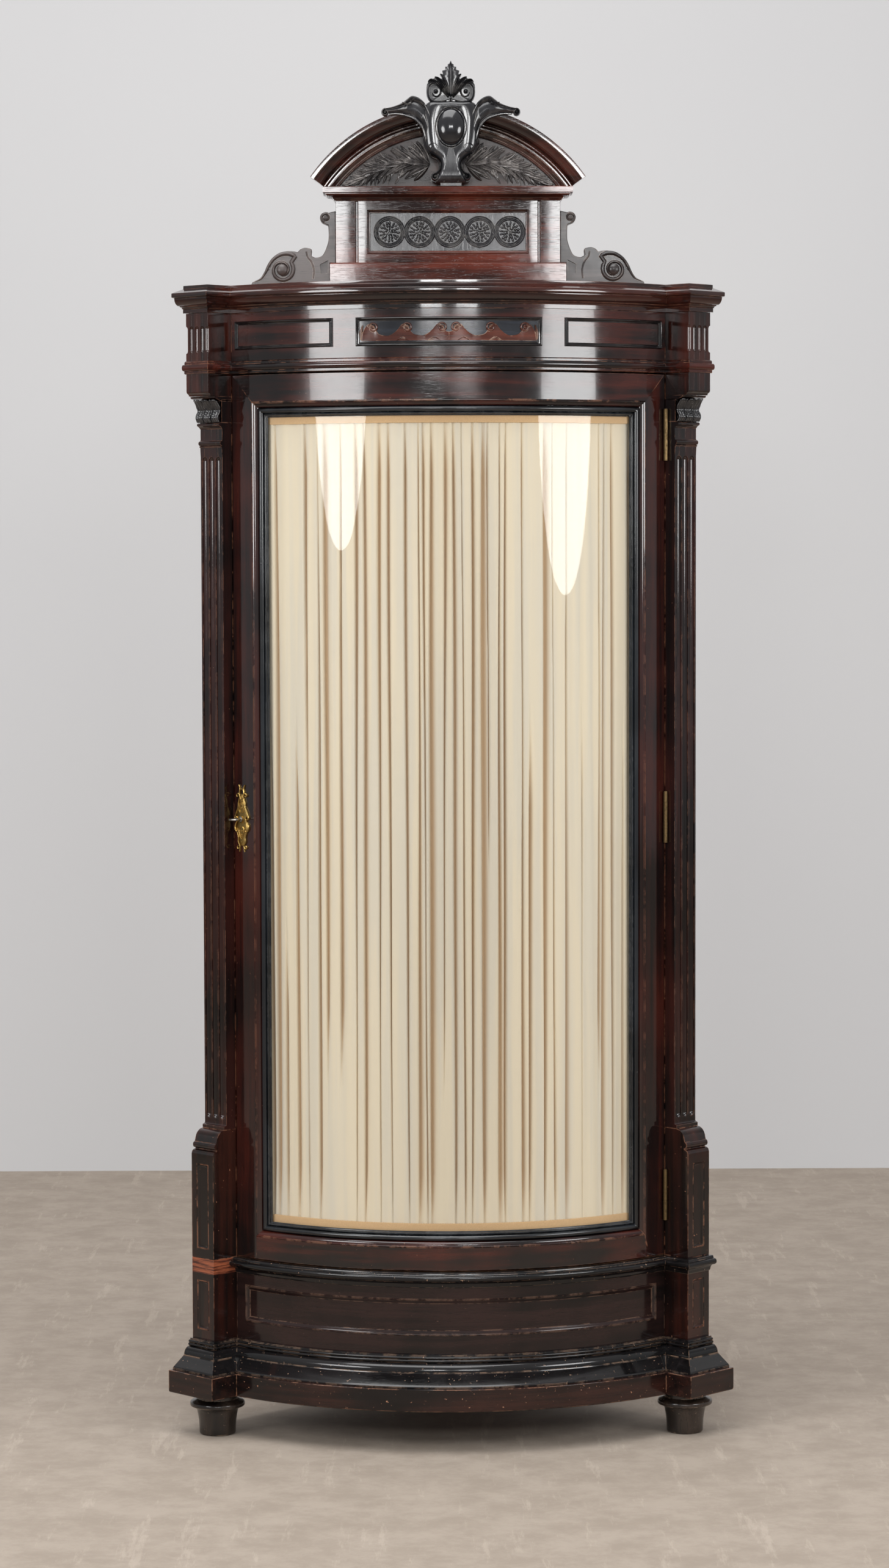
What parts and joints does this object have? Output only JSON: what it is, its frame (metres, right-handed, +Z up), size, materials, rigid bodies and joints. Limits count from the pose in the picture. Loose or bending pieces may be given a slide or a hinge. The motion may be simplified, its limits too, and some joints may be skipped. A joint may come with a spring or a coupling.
{
  "type": "corner cabinet",
  "caption": "Bow-front corner cabinet with a glazed and curtained door between fluted pilasters, on turned feet, under a carved pediment.",
  "frame": {"origin": "centre of the bounding box in plan, on the floor under the feet", "axes": "+Z up, +Y towards the corner of the room, so the bow faces -Y; +X to the viewer's right"},
  "size_m": [1.0412, 0.6884, 2.4981],
  "materials": {
    "polished_mahogany": "French polish, glossy",
    "dark_mahogany": "French polish, glossy",
    "ebonised_wood": "ebonised, worn gloss",
    "inner_wood": "bare, matt",
    "brass": "polished, tarnished",
    "gilt_metal": "cast and gilt",
    "steel": "worn bright",
    "window_glass": "clear",
    "cream_cloth": "matt woven"
  },
  "bodies": {
    "carcass": {"foot_left": "ebonised_wood", "foot_right": "ebonised_wood", "foot_back": "ebonised_wood", "plinth": "polished_mahogany", "bottom_board": "inner_wood", "floor_board": "inner_wood", "top_board": "inner_wood", "base_moulding": "ebonised_wood", "post_left": "polished_mahogany", "post_right": "polished_mahogany", "back_panel_left": "inner_wood", "back_panel_right": "inner_wood", "back_post": "inner_wood", "dado_board": "dark_mahogany", "waist_moulding": "polished_mahogany", "frieze_board": "polished_mahogany", "frieze_astragal": "polished_mahogany", "cornice": "polished_mahogany", "wave_scroll": "ebonised_wood", "upper_die_left": "polished_mahogany", "upper_die_right": "polished_mahogany", "pilaster_left": "polished_mahogany", "pilaster_right": "polished_mahogany", "capital_left": "ebonised_wood", "capital_right": "ebonised_wood", "frieze_block_left": "polished_mahogany", "frieze_block_right": "polished_mahogany", "shelf_lower": "inner_wood", "shelf_upper": "inner_wood", "pediment_base": "polished_mahogany", "pediment_body": "polished_mahogany", "rosette_panel": "ebonised_wood", "pediment_cap": "polished_mahogany", "arch_moulding": "polished_mahogany", "tympanum": "polished_mahogany", "cartouche": "ebonised_wood", "palmette": "ebonised_wood", "bracket_left": "ebonised_wood", "bracket_right": "ebonised_wood", "hinge_low_post": "brass", "hinge_middle_post": "brass", "hinge_high_post": "brass", "strike_plate": "brass"},
    "door": {"door_stile_lock": "polished_mahogany", "door_stile_hinge": "polished_mahogany", "door_rail_top": "polished_mahogany", "door_rail_bottom": "polished_mahogany", "glazing_moulding": "ebonised_wood", "glass": "window_glass", "curtain": "cream_cloth", "curtain_rod_bottom": "brass", "curtain_rod_top": "brass", "hinge_low_door": "brass", "hinge_middle_door": "brass", "hinge_high_door": "brass", "lock_case": "brass", "escutcheon": "gilt_metal"},
    "key": {"key": "steel"},
    "bolt": {"lock_bolt": "steel"}
  },
  "joints": [
    {"name": "door_swing", "type": "hinge", "parent": "carcass", "child": "door", "pos_m": [0.39683, -0.12713, 1.1345], "axis": [0, 0, 1], "range_deg": [0, 90]},
    {"name": "key_turn", "type": "hinge", "parent": "door", "child": "key", "pos_m": [-0.37899, -0.13538, 1.1345], "axis": [0.6777, 0.7353, 0], "range_deg": [0, 180]},
    {"name": "bolt_slide", "type": "slide", "parent": "door", "child": "bolt", "axis": [-0.7353, 0.6777, 0], "range_m": [0, 0.01]}
  ],
  "couplings": [
    {"joint": "bolt_slide", "follows": "key_turn", "m_per_rad": 0.003183}
  ]
}
